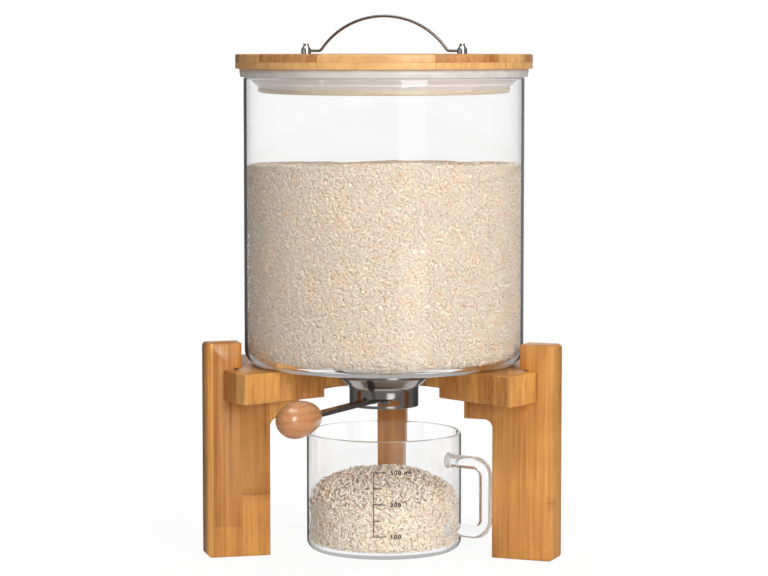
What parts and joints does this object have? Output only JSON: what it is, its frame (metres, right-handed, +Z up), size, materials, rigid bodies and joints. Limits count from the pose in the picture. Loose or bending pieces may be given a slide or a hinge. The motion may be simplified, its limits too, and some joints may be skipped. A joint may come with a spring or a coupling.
{
  "type": "glass rice dispenser",
  "caption": "Glass grain jar on a three-legged bamboo stand, with a lever-worked shutter outlet, a bamboo lid with a bail handle and a glass measuring cup below.",
  "frame": {"origin": "centre of the cup's base, on the jar's axis at table level", "axes": "+Z up along the jar's axis; -Y is the front, towards the stand's cut-out and the lever; +X is the right seen from the front"},
  "size_m": [0.2512, 0.2663, 0.3775],
  "materials": {
    "bamboo": "laminated bamboo, clear satin lacquer",
    "beech": "turned hardwood, gloss lacquer",
    "clear_glass": "clear borosilicate glass",
    "steel": "stainless steel, fine turned finish",
    "chrome": "bright steel wire and posts",
    "silicone": "translucent white silicone"
  },
  "bodies": {
    "stand": {"stand_disc": "bamboo", "leg_left": "bamboo", "leg_right": "bamboo", "leg_back": "bamboo"},
    "jar": {"jar_glass": "clear_glass", "outlet_funnel": "steel", "outlet_collar": "steel", "outlet_gasket_upper": "silicone", "outlet_gasket_lower": "silicone", "outlet_sector_plate": "steel", "pivot_screw": "steel", "pivot_nut": "steel"},
    "shutter": {"shutter_disc": "steel", "lever_arm": "steel", "lever_rivets": "steel", "knob_stud": "steel", "lever_knob": "beech"},
    "lid": {"lid_board": "bamboo", "lid_plug": "bamboo", "lid_seal": "silicone", "handle_post_left": "chrome", "handle_post_right": "chrome", "handle_post_nuts": "steel"},
    "handle": {"handle_wire": "chrome"},
    "cup": {"cup_glass": "clear_glass"}
  },
  "joints": [
    {"name": "jar_lift", "type": "slide", "parent": "stand", "child": "jar", "axis": [0, 0, 1], "range_m": [0, 0.08]},
    {"name": "lid_lift", "type": "slide", "parent": "jar", "child": "lid", "axis": [0, 0, 1], "range_m": [0, 0.06]},
    {"name": "handle_fold", "type": "hinge", "parent": "lid", "child": "handle", "pos_m": [0, 0, 0.3523], "axis": [1, 0, 0], "range_deg": [-88, 88]},
    {"name": "shutter_turn", "type": "hinge", "parent": "jar", "child": "shutter", "pos_m": [0, 0, 0.1097], "axis": [0, 0, 1], "range_deg": [0, 45]},
    {"name": "cup_slide", "type": "slide", "parent": "stand", "child": "cup", "axis": [0, -1, 0], "range_m": [0, 0.2]}
  ]
}
